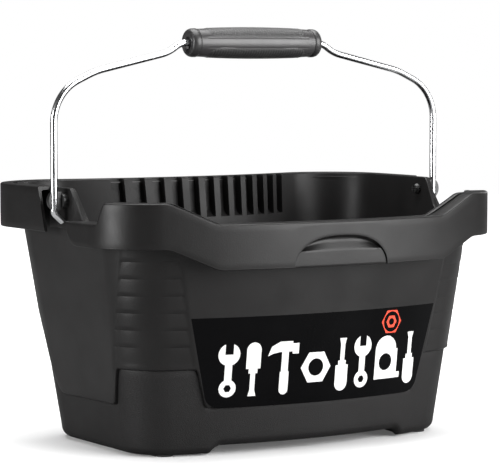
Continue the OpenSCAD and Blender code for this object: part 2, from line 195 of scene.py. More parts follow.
def outline(size, inset, seg, frac):
    """Points of an outline. seg is 0 to 7 round it from the left end's front, and
    frac goes from 0 to 1 along each stretch. Everything may be an array."""
    a, front, back, radius = (np.asarray(v, float) for v in size)
    r = radius - inset
    cx, yf, yb = a - radius, front + radius, back - radius
    sf, cf_ = math.sin(FRONT_TURN), math.cos(FRONT_TURN)
    sb, cb_ = math.sin(BACK_TURN), math.cos(BACK_TURN)
    rf = (cx + r * sf) / sf
    rb = (cx - r * sb) / sb
    cf = yf - r * cf_ + rf * cf_
    cb = yb + r * cb_ + rb * cb_
    quarter = math.pi / 2
    turn = [
        math.pi + frac * (quarter - FRONT_TURN),
        3 * quarter - FRONT_TURN + 2 * FRONT_TURN * frac,
        3 * quarter + FRONT_TURN + frac * (quarter - FRONT_TURN),
        None,
        frac * (quarter + BACK_TURN),
        3 * quarter + BACK_TURN - 2 * BACK_TURN * frac,
        quarter - BACK_TURN + frac * (quarter + BACK_TURN),
        None,
    ]
    xs = [
        -cx + r * np.cos(turn[0]),
        rf * np.cos(turn[1]),
        cx + r * np.cos(turn[2]),
        cx + r + 0 * frac,
        cx + r * np.cos(turn[4]),
        rb * np.cos(turn[5]),
        -cx + r * np.cos(turn[6]),
        -cx - r + 0 * frac,
    ]
    ys = [
        yf + r * np.sin(turn[0]),
        cf + rf * np.sin(turn[1]),
        yf + r * np.sin(turn[2]),
        yf + (yb - yf) * frac,
        yb + r * np.sin(turn[4]),
        cb + rb * np.sin(turn[5]),
        yb + r * np.sin(turn[6]),
        yb + (yf - yb) * frac,
    ]
    pick = [seg == k for k in range(8)]
    return np.select(pick, xs), np.select(pick, ys)


def slot_x(i):
    """Middle of slot i in X. The slots narrow from left to right."""
    return SLOT_START + SLOT_PITCH * i - SLOT_STEP * i * (i - 1) / 2


def slot_half(i):
    return SLOT_SHARE * (SLOT_PITCH - SLOT_STEP * i) / 2


def even(start, stop, step):
    """Evenly spaced values from start up to, and not including, stop."""
    n = max(1, int(round(abs(stop - start) / step)))
    return list(np.linspace(start, stop, n, endpoint=False))


def columns():
    """Where the tub's mesh has its columns: (stretch, fraction), closer together
    round the scoop, the corner guards and the tool slots."""
    cols = [(0, f) for f in even(0, 1, 0.022)]
    reach, guard, scoop = 148.0, 112.0, 52.0
    xs = even(-reach, -guard, 1.3) + even(-guard, -scoop, 5.0) + even(-scoop, scoop, 1.6)
    xs += even(scoop, guard, 5.0) + even(guard, reach, 1.3)
    cols += [(1, (x / reach + 1) / 2) for x in xs]
    cols += [(2, f) for f in even(0, 1, 0.022)]
    straight = even(0, 0.14, 0.011) + even(0.14, 0.86, 0.025) + even(0.86, 1, 0.012)
    cols += [(3, f) for f in straight]
    cols += [(4, f) for f in even(0, 0.34, 0.012) + even(0.34, 1, 0.03)]
    sb = math.sin(BACK_TURN)
    a, _, _, radius = (float(v) for v in walls_at(SLOT_MIDDLE))
    rb = (a - radius - (radius - WALL_IN) * sb) / sb
    marks = []
    for i in range(SLOTS):
        for d in (-1.0, -0.25, 0.25, 0.5 * slot_half(i)):
            marks += [slot_x(i) - slot_half(i) + d, slot_x(i) + slot_half(i) - d]
        marks.append(slot_x(i))
    end = rb * sb
    marks += even(-end + 4, slot_x(0) - 14, 5.0) + even(slot_x(SLOTS - 1) + 7, end, 5.0)
    for x in sorted(marks, reverse=True):
        cols.append((5, (1 - math.asin(x / rb) / BACK_TURN) / 2))
    cols += [(6, f) for f in even(0, 0.66, 0.03) + even(0.66, 1, 0.012)]
    straight = even(0, 0.14, 0.012) + even(0.14, 0.86, 0.025) + even(0.86, 1, 0.011)
    cols += [(7, f) for f in straight]
    seg = np.array([c[0] for c in cols])
    frac = np.array([c[1] for c in cols])
    return seg, frac


def soft_corner(v, points, radius):
    """A polyline's height at v, with its bends eased over about radius."""
    xs, zs = zip(*points)
    span = np.linspace(-radius, radius, 9)
    weight = np.cos(span / radius * math.pi / 2)
    total = sum(w * np.interp(v + s, xs, zs) for s, w in zip(span, weight))
    return total / weight.sum()


def rim_height(x, y):
    """Top of the rim above a point of the plan."""
    front = [(0, RIM_LOW), (LOW_HALF, RIM_LOW), (CORNER_HALF, RIM_CORNER), (FAR, RIM_CORNER)]
    side = [(-FAR, RIM_CORNER), (EAR_Y[1], RIM_CORNER), (EAR_Y[0], RIM_LOW)]
    side += [(PLATE_LOW_Y, RIM_LOW), (PLATE_TOP_Y, RIM_BACK), (FAR, RIM_BACK)]
    at_front = soft_corner(np.abs(x), front, 6.0)
    at_side = soft_corner(y, side, 2.5)
    return np.where(y < EAR_Y[1] - 4, np.minimum(at_front, at_side), at_side)


def guard_height(x, y):
    """Top of the base guard, where the walls step out above it."""
    front = [(0, GUARD_LOW), (107, GUARD_LOW), (108.5, 44), (114.2, 73), (116.5, GUARD_SIDE)]
    front += [(FAR, GUARD_SIDE)]
    side = [(-FAR, GUARD_SIDE), (-54, GUARD_SIDE), (-52, 73), (-46.5, 46), (-43.5, 43)]
    side += [(50, GUARD_LOW), (54, 44), (58, 48), (64, 62), (70, 92), (76, 108)]
    side += [(83, GUARD_BACK), (FAR, GUARD_BACK)]
    back = [(0, GUARD_LOW), (104, GUARD_LOW), (108, 46), (124, 110), (128, GUARD_BACK)]
    back += [(FAR, GUARD_BACK)]
    at_front = soft_corner(np.abs(x), front, 1.2)
    at_side = soft_corner(y, side, 1.2)
    at_back = soft_corner(np.abs(x), back, 2.5)
    return np.where(y < -72, at_front, np.where(y > 79, at_back, at_side))


# ---------------------------------------------------------------- the tub's walls
def corner_guard_relief(x, y, z):
    """How far the front corners' panels and their lines go in at a point."""
    # The panel's two edges lean as they go up.
    from_front = np.abs(x) - (122 + (z - 90) * 0.1875)
    from_end = -55 - (z - 93) * 0.27 - y
    inside = np.minimum(from_front, from_end)
    high = smooth(76, 78, z)
    panel = 0.5 * smooth(0.0, 1.3, inside) * high
    edge = 0.5 * np.exp(-((inside / 0.9) ** 2)) * high
    lines = np.zeros_like(z)
    for level in SHINGLES:
        above = z - level
        over = np.exp(-((above / 0.25) ** 2))
        under = np.exp(np.minimum(above, 0) / 4.0)
        lines = lines + np.where(above > 0, over, under)
    fade = smooth(27, 6, inside)
    return panel + edge * (y < -40) + 0.6 * lines * fade * smooth(0.2, 1.4, inside) * high


def underside(x):
    """Height of the base's underside: low at the runners, arched between them."""
    rise = smooth(RUNNER_X + RUNNER_OUT, RUNNER_X + RUNNER_IN, np.abs(x))
    return FOOT_GAP + (ARCH_H - FOOT_GAP) * rise


def wall_rows(seg, frac):
    """Outer face of the walls, from the base's rounded edge up to the ledge, as rows of
    (height, inset) over all columns."""
    x0, y0 = outline(walls_at(60.0), 0.0, seg, frac)
    guard = guard_height(x0, y0)
    base = np.where((seg == 1) | (seg == 5), underside(x0), FOOT_GAP)
    ones = np.ones_like(guard)
    rows = []
    for sine, cosine in quarter_turn(8):
        z = base + BASE_ROUND * (1 - cosine)
        rows.append((z, (GUARD_STEP + BASE_ROUND * (1 - sine)) * ones))
    start = base + BASE_ROUND
    for f in (0.2, 0.4, 0.6, 0.8, 0.92):
        rows.append((start + (guard - 2.2 - start) * f, GUARD_STEP * ones))
    for dz, inset in ((-1.7, 2.85), (-0.9, 3.1), (-0.35, 3.35), (0.0, 2.6), (0.15, 0.9),
                      (0.6, 0.22), (1.4, 0.0)):
        rows.append((guard + dz, inset * ones))
    top = np.maximum(MIDDLE_TOP, guard + 10.0)
    for f in (0.2, 0.4, 0.6, 0.8, 1.0):
        rows.append((guard + 1.4 + (top - guard - 1.4) * f, 0 * ones))
    upper = []
    for level in SHINGLES:
        upper += [level - 1.6, level - 0.7, level - 0.15, level + 0.15, level + 0.8]
        upper += [level + 4.0, level + 7.5, level + 11.0]
    upper += [182.0, 186.0]
    for level in upper:
        f = (level - MIDDLE_TOP) / (WALL_TOP - MIDDLE_TOP)
        rows.append((top + (WALL_TOP - top) * f, 0 * ones))
    return rows


def tub_walls(seg, frac):
    """Floor, inner faces, rim and outer faces as one closed sweep. Also gives the rings
    at which the base guard ends and the inside starts."""
    rings = []

    def add(size, inset, z):
        x, y = outline(size, inset, seg, frac)
        rings.append(np.stack([x, y, z + 0 * x], axis=1))

    # Under the base, from the middle out.
    z0, g0 = wall_rows(seg, frac)[0]
    x_edge, y_edge = outline(walls_at(z0), g0, seg, frac)
    for f in (0.08, 0.3, 0.55, 0.75, 0.9, 0.97):
        x, y = x_edge * f, y_edge * f
        rings.append(np.stack([x, y, underside(x)], axis=1))
    # Outer faces.
    guard_end = len(rings) + GUARD_ROWS
    for z, inset in wall_rows(seg, frac):
        x, y = outline(walls_at(z), inset, seg, frac)
        relief = corner_guard_relief(x, y, z)
        x, y = outline(walls_at(z), inset + relief, seg, frac)
        rings.append(np.stack([x, y, z], axis=1))
    # Above the ledge the outer face is hidden behind the skirt or the side plates, and
    # behind the slots the wall is thicker.
    xs, ys = outline(SKIRT, 0.0, seg, frac)
    rim = rim_height(xs, ys)
    band = (seg == 5) & (np.abs(xs - BAND_X) < BAND_HALF)
    for f in (0.12, 0.5, 0.9):
        z = WALL_TOP + (rim - WALL_TOP) * f
        add(walls_at(WALL_TOP), np.where(band, -BAND_T, 0.0), z)
    xi, _ = outline(walls_at(SLOT_MIDDLE), WALL_IN, seg, frac)
    pocket = np.zeros_like(xi)
    for i in range(SLOTS):
        pocket = np.maximum(pocket, smooth(-0.2, 0.2, slot_half(i) - np.abs(xi - slot_x(i))))
    pocket = pocket * (seg == 5)

    def pocket_depth(z):
        s = np.clip((z - SLOT_Z) / SLOT_DEPTH, 0.0, 1.0)
        return pocket * SLOT_DEPTH * np.sqrt(np.maximum(0.0, 1 - (1 - s) ** 2))

    full = pocket_depth(rim)
    for thick, plain, drop in ((0.8 - BAND_T, 0.6, 0.35), (1.6 - BAND_T, 1.4, 0.0)):
        add(walls_at(rim), np.where(band, thick, plain), rim - drop)
    add(walls_at(rim), WALL_IN - RIM_ROUND - full, rim)
    inside_from = len(rings) + 1
    for sine, cosine in quarter_turn(3, 1):
        inset = WALL_IN - RIM_ROUND + RIM_ROUND * sine - full
        add(walls_at(rim), inset, rim - RIM_ROUND * (1 - cosine))
    # Inner faces, down to the floor. The levels are those under the highest rim.
    levels = [222.0, 216.0, 208.0, 203.0, 199.5, 197.0, 195.2, 193.6, 192.2, 191.0, 190.0, 189.2,
              188.6, 188.2, 187.9, 184.0, 176.0, 160.0, 140.0, 115.0, 90.0, 65.0, 42.0, 28.0]
    for level in levels:
        f = (level - FLOOR_Z) / (RIM_BACK - FLOOR_Z)
        z = FLOOR_Z + (rim - FLOOR_Z) * f
        add(walls_at(z), WALL_IN - pocket_depth(level) * (rim > RIM_CORNER + 4), z)
    for sine, cosine in quarter_turn(5):
        inset = WALL_IN + FLOOR_ROUND * (1 - cosine)
        add(walls_at(FLOOR_Z), inset, FLOOR_Z + FLOOR_ROUND * (1 - sine))
    x_edge, y_edge = outline(walls_at(FLOOR_Z), WALL_IN + FLOOR_ROUND, seg, frac)
    for f in (0.9, 0.7, 0.45, 0.2, 0.04):
        rings.append(np.stack([x_edge * f, y_edge * f, FLOOR_Z + 0 * x_edge], axis=1))
    faces = ring_faces(len(rings), len(seg))
    return np.concatenate(rings), faces, guard_end, inside_from


# ---------------------------------------------------------------- the skirts
def scoop_arch(x):
    """Height of the finger scoop's upper edge at x, above the skirt's lower edge."""
    u = np.clip(np.abs(x) / SCOOP_HALF, 0.0, 1.0)
    return 1.0 + 25.0 * np.power(1 - u ** 2.6, 0.55)


def skirt_sweep(seg, frac_of, lower, flange_in, scoop, low_from=FAR):
    """A skirt from end to end: flange top, outer face, lower edge, inner face and
    flange underside, as one closed sweep with flat ends. Past low_from in Y it is no
    higher than the low rim."""
    xs, ys = outline(SKIRT, 0.0, seg, frac_of(200.0))
    rim = rim_height(xs, ys)
    rim = np.where(ys > low_from, np.minimum(rim, RIM_LOW), rim)
    foot = lower(xs, ys)
    arch = scoop_arch(xs) if scoop else 1.0 + 0 * xs
    depth = SCOOP_DEPTH * smooth(1.0, 6.0, arch) if scoop else 0 * xs
    section = []

    def add(inset, z):
        section.append((inset + 0 * xs, z + 0 * xs))

    add(flange_in, rim - 0.12)
    add(8.0, rim - 0.04)
    add(2.2, rim)
    for sine, cosine in quarter_turn(4, 1):
        add(LIP_ROUND * (1 - sine), rim - LIP_ROUND * (1 - cosine))
    line = foot + arch
    for f in (0.15, 0.35, 0.55, 0.75, 0.9):
        add(0.0, (rim - LIP_ROUND) + (line + LIP_ROUND - (rim - LIP_ROUND)) * f)
    add(0.0, line + 1.0)
    add(0.12, line + 0.3)
    # Inside the scoop the face dips in below the arch, slopes out again to an edge,
    # then drops as a flat band.
    shelf = foot + np.minimum(0.94 * arch, SCOOP_SHELF + 0.04 * arch)
    band = 0.26 * depth
    for f, dip in ((0.05, 0.45), (0.12, 0.8), (0.22, 1.0), (0.34, 1.0)):
        add(0.12 + depth * dip, line + (shelf - line) * f)
    for f in (0.5, 0.66, 0.82, 0.95):
        add(0.12 + depth + (band - depth) * (f - 0.34) / 0.66, line + (shelf - line) * f)
    add(0.2 + band, shelf)
    for f in (0.12, 0.5, 0.9):
        add(band + 0.2, shelf + (foot + FOOT_ROUND - shelf) * f)
    for sine, cosine in quarter_turn(4, 1):
        add(band + 0.2 + FOOT_ROUND * (1 - cosine), foot + FOOT_ROUND * (1 - sine))
    add(depth + SKIRT_T - FOOT_ROUND, foot)
    add(depth + SKIRT_T, foot + FOOT_ROUND)
    add(depth + SKIRT_T, foot + 0.5 * arch)
    add(SKIRT_T, foot + arch + 4)
    add(SKIRT_T, rim - SKIRT_T - 1.5)
    add(SKIRT_T + 1.5, rim - SKIRT_T)
    add(flange_in, rim - SKIRT_T)
    rings = []
    for inset, z in section:
        x, y = outline(SKIRT, inset, seg, frac_of(z))
        rings.append(np.stack([x, y, z], axis=1))
    n = len(seg)
    rows = len(rings)
    points = np.concatenate(rings)
    faces = grid_faces(rows, n, False, flip=True)
    last = (rows - 1) * n
    for c in range(n - 1):
        faces.append([last + c, last + c + 1, c + 1, c])
    faces.append([r * n for r in range(rows)])
    faces.append([r * n + n - 1 for r in range(rows)][::-1])
    return points, faces


def stretches(*parts):
    """Columns from (stretch, fractions) pairs, as two arrays."""
    seg = [k for k, fs in parts for _ in fs]
    frac = [f for _, fs in parts for f in fs]
    return np.array(seg), np.array(frac)


def front_skirt():
    """The lower skirt round the front, with the finger scoop and a tab at each end."""
    radius = SKIRT[3]
    y0, y1 = SKIRT[1] + radius, SKIRT[2] - radius
    tab = (TAB_Y - y0) / (y1 - y0)
    reach = SKIRT[0] - radius + radius * math.sin(FRONT_TURN)
    xs = even(-reach, -48.5, 3.0) + even(-48.5, -40, 0.5) + even(-40, 40, 1.6)
    xs += even(40, 48.5, 0.5) + even(48.5, reach, 3.0)
    bow = [(math.asin(x / reach * math.sin(FRONT_TURN)) / FRONT_TURN + 1) / 2 for x in xs]
    corner = even(0, 1, 0.022)
    seg, frac = stretches((7, even(1 - tab, 1, 0.018)), (0, corner), (1, bow), (2, corner),
                          (3, even(0, tab, 0.018) + [tab]))

    def lower(x, y):
        low, high = RIM_LOW - SKIRT_DROP, RIM_CORNER - SKIRT_DROP
        front = [(0, low), (LOW_HALF, low), (CORNER_HALF, high), (FAR, high)]
        at_front = soft_corner(np.abs(x), front, 6.0)
        rise = np.clip((y - (TAB_Y - TAB_CURVE)) / TAB_CURVE, 0, 0.999)
        at_side = high + TAB_RISE * (1 - np.sqrt(1 - rise ** 2))
        return np.where(y < SIDE_FROM, at_front, at_side)

    return skirt_sweep(seg, lambda z: frac + 0 * z, lower, 15.0, True, SIDE_FROM)


def back_skirt():
    """The higher skirt round the back, whose ends lean."""
    seg, frac = stretches((3, even(0, 1, 0.05)), (4, even(0, 1, 0.03)), (5, even(0, 1, 0.014)),
                          (6, even(0, 1, 0.03)), (7, list(np.linspace(0, 1, 21))))
    y0, y1 = SKIRT[1] + SKIRT[3], SKIRT[2] - SKIRT[3]
    low = RIM_BACK - SKIRT_DROP

    def frac_of(z):
        edge_y = BOX_Y + BOX_LEAN * (np.asarray(z) - low) / SKIRT_DROP
        start = (edge_y - y0) / (y1 - y0)
        first = start + (1 - start) * frac
        last = (1 - start) * frac
        return np.where(seg == 3, first, np.where(seg == 7, last, frac))

    def lower(x, y):
        return low + 0 * x

    return skirt_sweep(seg, frac_of, lower, 11.0, False)


# ---------------------------------------------------------------- small solids
def prism_x(outline_yz, x0, x1, round_by):
    """A plate across X with the given side outline and softened edges."""
    n = len(outline_yz)
    pts = np.array(outline_yz, float)
    centre = pts.mean(axis=0)
    rings = []
    for x, shrink in ((x0, round_by), (x0 + 0.3 * round_by, 0.3 * round_by), (x0 + round_by, 0),
                      (x1 - round_by, 0), (x1 - 0.3 * round_by, 0.3 * round_by), (x1, round_by)):
        inner = pts + (centre - pts) / np.linalg.norm(centre - pts, axis=1)[:, None] * shrink
        rings.append(np.stack([np.full(n, x), inner[:, 0], inner[:, 1]], axis=1))
    return np.concatenate(rings), ring_faces(len(rings), n)


def round_outline(points, radii, steps=5):
    """The outline with each corner rounded to its radius."""
    out = []
    n = len(points)
    for i, (p, r) in enumerate(zip(points, radii)):
        p = np.array(p, float)
        a = np.array(points[i - 1], float) - p
        b = np.array(points[(i + 1) % n], float) - p
        a, b = a / np.linalg.norm(a), b / np.linalg.norm(b)
        for k in range(steps + 1):
            t = k / steps
            out.append(p + a * r * (1 - t) ** 2 + b * r * t ** 2)
    return out


def join_parts(name, parts):
    """One object from several closed solids, given as (points, faces)."""
    points, faces, start = [], [], 0
    for pts, fcs in parts:
        points.append(pts)
        faces += [[start + k for k in f] for f in fcs]
        start += len(pts)
    return build_mesh(name, np.concatenate(points), faces)


def mirror_x(part):
    """The same solid, mirrored from right to left."""
    pts, faces = part
    return pts * np.array([-1.0, 1.0, 1.0]), [f[::-1] for f in faces]


def lathe_x(profile, centre_z, sides, shape=None):
    """A solid turned about an axis along X, from (x, radius) pairs. shape may give
    a change of radius at (x, angle)."""
    xs = np.array([p[0] for p in profile], float)
    rs = np.array([p[1] for p in profile], float)
    angle = np.linspace(0, 2 * math.pi, sides, endpoint=False)
    grid_x, grid_a = np.meshgrid(xs, angle, indexing="ij")
    radius = np.repeat(rs[:, None], sides, axis=1)
    if shape is not None:
        radius = radius + shape(grid_x, grid_a)
    pts = np.stack([grid_x, -radius * np.sin(grid_a), centre_z + radius * np.cos(grid_a)], axis=2)
    return pts.reshape(-1, 3), grid_faces(len(xs), sides, True, flip=True)


# ---------------------------------------------------------------- bail and grip
def bail_route():
    """The right half of the wire's centre line in X and Z, from its hooked end."""
    corners = [(190.5, 196.5), (LEG_X, 203.5), (LEG_X, 305.0), (158.0, 323.5), (86.0, 339.5),
               (74.0, GRIP_Z), (61.0, GRIP_Z)]
    radii = [5.0, 40.0, 70.0, 40.0, 20.0]
    pts = [np.array(corners[0])]
    for i in range(1, len(corners) - 1):
        a, b, c = (np.array(corners[i + k]) for k in (-1, 0, 1))
        u, v = (a - b) / np.linalg.norm(a - b), (c - b) / np.linalg.norm(c - b)
        half = math.acos(float(u @ v)) / 2
        centre = b + (u + v) / np.linalg.norm(u + v) * radii[i - 1] / math.sin(half)
        p = b + u * radii[i - 1] / math.tan(half)
        start = math.atan2(*(p - centre)[::-1])
        turn = (math.pi - 2 * half) * (-1 if u[0] * v[1] - u[1] * v[0] > 0 else 1)
        steps = max(3, int(abs(math.degrees(turn)) / 3))
        for k in range(steps + 1):
            t = start + turn * k / steps
            pts.append(centre + radii[i - 1] * np.array([math.cos(t), math.sin(t)]))
    pts.append(np.array(corners[-1]))
    return pts


def wire_ring(p, d, radius):
    """A ring of points round the wire at p in X and Z, square to the direction d."""
    turn = 2 * math.pi * np.arange(WIRE_SIDES) / WIRE_SIDES
    c, s = radius * np.cos(turn), radius * np.sin(turn)
    return np.stack([p[0] - d[1] * c, s, p[1] + d[0] * c], axis=1)


def wire_mesh():
    right = bail_route()
    line = right + [p * np.array([-1, 1]) for p in right[::-1]]
    count, sides = len(line), WIRE_SIDES
    rings = []
    for k, p in enumerate(line):
        d = line[min(k + 1, count - 1)] - line[max(k - 1, 0)]
        rings.append(wire_ring(p, d / np.linalg.norm(d), WIRE_R))
    faces = grid_faces(count, sides, True)
    # Each end is chamfered and closed with a flat face.
    for end, sign in ((0, 1), (count - 1, -1)):
        d = line[1] - line[0] if end == 0 else line[-1] - line[-2]
        d = d / np.linalg.norm(d)
        start, ring = len(rings) * sides, end * sides
        rings.append(wire_ring(line[end] - d * sign * WIRE_TIP, d, WIRE_TIP_R))
        for i in range(sides):
            j = (i + 1) % sides
            quad = [ring + i, start + i, start + j, ring + j]
            faces.append(quad if sign > 0 else quad[::-1])
        cap = [start + i for i in range(sides)]
        faces.append(cap[::-1] if sign > 0 else cap)
    return np.concatenate(rings), faces


def barrel(x):
    """Radius of the grip at x."""
    return 13.5 - 1.4 * (np.abs(x) / CORE_HALF) ** 2


# ---------------------------------------------------------------- materials
NOISE_SPAN = (0.3, 0.7)  # where most of a noise texture's values lie


def new_material(name):
    """A material, its nodes and links, and its shader."""
    mat = bpy.data.materials.new(name)
    mat.use_nodes = True
    nodes, links = mat.node_tree.nodes, mat.node_tree.links
    return mat, nodes, links, nodes["Principled BSDF"]


def noise(nodes, links, scale, detail, rough, coords):
    tex = nodes.new("ShaderNodeTexNoise")
    tex.inputs["Scale"].default_value = scale
    tex.inputs["Detail"].default_value = detail
    tex.inputs["Roughness"].default_value = rough
    links.new(coords, tex.inputs["Vector"])
    return tex.outputs["Fac"]


def ramp(nodes, links, fac, low, high, pos=NOISE_SPAN):
    """A colour from low to high as fac goes from pos[0] to pos[1]."""
    node = nodes.new("ShaderNodeValToRGB")
    node.color_ramp.elements[0].position = pos[0]
    node.color_ramp.elements[1].position = pos[1]
    node.color_ramp.elements[0].color = (*low, 1)
    node.color_ramp.elements[1].color = (*high, 1)
    links.new(fac, node.inputs["Fac"])
    return node.outputs["Color"]


def spread(nodes, links, fac, low, high):
    """A value from low to high as a noise goes over its usual span."""
    node = nodes.new("ShaderNodeMapRange")
    node.inputs["To Min"].default_value = low
    node.inputs["To Max"].default_value = high
    node.inputs["From Min"].default_value = NOISE_SPAN[0]
    node.inputs["From Max"].default_value = NOISE_SPAN[1]
    links.new(fac, node.inputs["Value"])
    return node.outputs["Result"]


def plastic(name, dark, light, rough, grain_scale, grain, wear=0.0, specular=0.5):
    """Moulded plastic: cloudy tone, fine grain, uneven gloss and paler, worn edges."""
    mat, nodes, links, shader = new_material(name)
    coords = nodes.new("ShaderNodeTexCoord").outputs["Object"]
    tone = ramp(nodes, links, noise(nodes, links, 14.0, 5.0, 0.6, coords), dark, light)
    if wear:
        geo = nodes.new("ShaderNodeNewGeometry")
        edge = nodes.new("ShaderNodeMapRange")
        edge.inputs["From Min"].default_value = 0.54
        edge.inputs["From Max"].default_value = 0.66
        edge.inputs["To Max"].default_value = wear
        links.new(geo.outputs["Pointiness"], edge.inputs["Value"])
        broken = nodes.new("ShaderNodeMath")
        broken.operation = "MULTIPLY"
        links.new(edge.outputs["Result"], broken.inputs[0])
        links.new(noise(nodes, links, 90.0, 3.0, 0.6, coords), broken.inputs[1])
        mix = nodes.new("ShaderNodeMix")
        mix.data_type = "RGBA"
        links.new(broken.outputs[0], mix.inputs["Factor"])
        links.new(tone, mix.inputs["A"])
        mix.inputs["B"].default_value = (0.16, 0.16, 0.16, 1)
        tone = mix.outputs["Result"]
    links.new(tone, shader.inputs["Base Color"])
    fine = noise(nodes, links, grain_scale, 3.0, 0.6, coords)
    patch = noise(nodes, links, 30.0, 4.0, 0.5, coords)
    links.new(spread(nodes, links, patch, rough - 0.05, rough + 0.06), shader.inputs["Roughness"])
    bump = nodes.new("ShaderNodeBump")
    bump.inputs["Strength"].default_value = grain
    bump.inputs["Distance"].default_value = 0.0004
    links.new(fine, bump.inputs["Height"])
    links.new(bump.outputs["Normal"], shader.inputs["Normal"])
    shader.inputs["Specular IOR Level"].default_value = specular
    return mat


def plated_steel():
    """Bright zinc on drawn wire: fine streaks along it and slightly dull patches."""
    mat, nodes, links, shader = new_material("zinc_plated_wire")
    coords = nodes.new("ShaderNodeTexCoord").outputs["Object"]
    shader.inputs["Metallic"].default_value = 1.0
    cloud = noise(nodes, links, 120.0, 5.0, 0.6, coords)
    links.new(ramp(nodes, links, cloud, (0.62, 0.63, 0.64), (0.83, 0.84, 0.85)),
              shader.inputs["Base Color"])
    links.new(spread(nodes, links, noise(nodes, links, 60.0, 4.0, 0.6, coords), 0.12, 0.24),
              shader.inputs["Roughness"])
    streak = nodes.new("ShaderNodeMapping")
    streak.inputs["Scale"].default_value = (1.0, 9.0, 1.0)
    links.new(coords, streak.inputs["Vector"])
    bump = nodes.new("ShaderNodeBump")
    bump.inputs["Strength"].default_value = 0.12
    bump.inputs["Distance"].default_value = 0.0002
    links.new(noise(nodes, links, 500.0, 3.0, 0.6, streak.outputs["Vector"]),
              bump.inputs["Height"])
    links.new(bump.outputs["Normal"], shader.inputs["Normal"])
    return mat


def ink(name, colour, worn):
    """Screen print: solid ink with faint mottling, on the film's own gloss."""
    mat, nodes, links, shader = new_material(name)
    coords = nodes.new("ShaderNodeTexCoord").outputs["Object"]
    fac = noise(nodes, links, 220.0, 4.0, 0.65, coords)
    links.new(ramp(nodes, links, fac, worn, colour, (0.2, 0.42)), shader.inputs["Base Color"])
    links.new(spread(nodes, links, noise(nodes, links, 40.0, 3.0, 0.5, coords), 0.3, 0.42),
              shader.inputs["Roughness"])
    bump = nodes.new("ShaderNodeBump")
    bump.inputs["Strength"].default_value = 0.08
    bump.inputs["Distance"].default_value = 0.0002
    links.new(fac, bump.inputs["Height"])
    links.new(bump.outputs["Normal"], shader.inputs["Normal"])
    return mat


def floor_material():
    """Pale matt floor that throws back less light than it shows, like one that ends
    just outside the view."""
    mat, nodes, links, shader = new_material("studio_floor")
    coords = nodes.new("ShaderNodeTexCoord").outputs["Object"]
    fac = noise(nodes, links, 3.0, 3.0, 0.5, coords)
    pale = ramp(nodes, links, fac, (0.90, 0.90, 0.90), (0.93, 0.93, 0.93))
    path = nodes.new("ShaderNodeLightPath")
    mix = nodes.new("ShaderNodeMix")
    mix.data_type = "RGBA"
    mix.inputs["A"].default_value = (0.3, 0.3, 0.3, 1)
    links.new(path.outputs["Is Camera Ray"], mix.inputs["Factor"])
    links.new(pale, mix.inputs["B"])
    links.new(mix.outputs["Result"], shader.inputs["Base Color"])
    # Away from the object a painted glow, seen by the camera only,
    # brightens it into the white backdrop.
    reach = nodes.new("ShaderNodeVectorMath")
    reach.operation = "LENGTH"
    links.new(coords, reach.inputs[0])
    painted_glow = nodes.new("ShaderNodeMapRange")
    painted_glow.inputs["From Min"].default_value = 0.3
    painted_glow.inputs["From Max"].default_value = 1.6
    painted_glow.inputs["To Min"].default_value = 0.08
    painted_glow.inputs["To Max"].default_value = 0.9
    links.new(reach.outputs["Value"], painted_glow.inputs["Value"])
    seen = nodes.new("ShaderNodeMath")
    seen.operation = "MULTIPLY"
    links.new(painted_glow.outputs["Result"], seen.inputs[0])
    links.new(path.outputs["Is Camera Ray"], seen.inputs[1])
    # The painted glow goes in as white emission, for camera rays only.
    shader.inputs["Emission Color"].default_value = (1, 1, 1, 1)
    links.new(seen.outputs[0], shader.inputs["Emission Strength"])
    shader.inputs["Roughness"].default_value = 0.85
    shader.inputs["Specular IOR Level"].default_value = 0.1
    return mat


# ---------------------------------------------------------------- camera
def make_camera():
    """A long lens, a little above the rim and to the left of the front."""
    data = bpy.data.cameras.new("camera")
    data.lens = 174.9
    data.sensor_width = 36.0
    data.clip_end = 50.0
    cam = link(bpy.data.objects.new("camera", data))
    cam.location = (-1.1518, -1.8240, 0.3306)
    cam.rotation_euler = (math.radians(90 - 4.08), 0.0, math.radians(-32.21))
    bpy.context.scene.camera = cam


make_camera()

TUB = plastic("tub_plastic", (0.0068, 0.0064, 0.0064), (0.0098, 0.0093, 0.0093),
              0.38, 900.0, 0.2, wear=0.5, specular=0.26)
GUARD = plastic("tub_guard_grain", (0.0095, 0.0091, 0.0092), (0.0135, 0.0129, 0.0130),
                0.50, 1300.0, 0.8, wear=0.5, specular=0.22)
INSIDE = plastic("tub_inside", (0.0075, 0.0071, 0.0072), (0.0110, 0.0105, 0.0105),
                 0.42, 700.0, 0.2, specular=0.17)
FILM = plastic("label_film_gloss", (0.0013, 0.0013, 0.0015), (0.0021, 0.0021, 0.0024),
               0.2, 300.0, 0.03, specular=0.06)
BUTTON = plastic("button_plastic", (0.010, 0.010, 0.010), (0.016, 0.016, 0.016),
                 0.32, 900.0, 0.25, wear=0.4, specular=0.4)
RUBBER = plastic("foot_rubber", (0.008, 0.008, 0.008), (0.016, 0.016, 0.016),
                 0.75, 1500.0, 0.8)
GRIP = plastic("grip_plastic", (0.030, 0.029, 0.030), (0.043, 0.041, 0.042),
               0.34, 1100.0, 0.35, wear=0.4)
PAD = plastic("grip_soft", (0.020, 0.0195, 0.020), (0.032, 0.031, 0.0315),
              0.42, 1600.0, 0.9, wear=0.3, specular=0.6)
CAP = plastic("cap_plastic", (0.020, 0.0195, 0.020), (0.030, 0.029, 0.0295),
              0.36, 900.0, 0.3, wear=0.5)
WIRE = plated_steel()
WHITE = ink("print_white", (0.86, 0.86, 0.85), (0.74, 0.74, 0.73))
RED = ink("print_red", (0.78, 0.07, 0.03), (0.55, 0.05, 0.025))


def dress(obj, *materials):
    """Give the object these materials and no others."""
    obj.data.materials.clear()
    for mat in materials:
        obj.data.materials.append(mat)


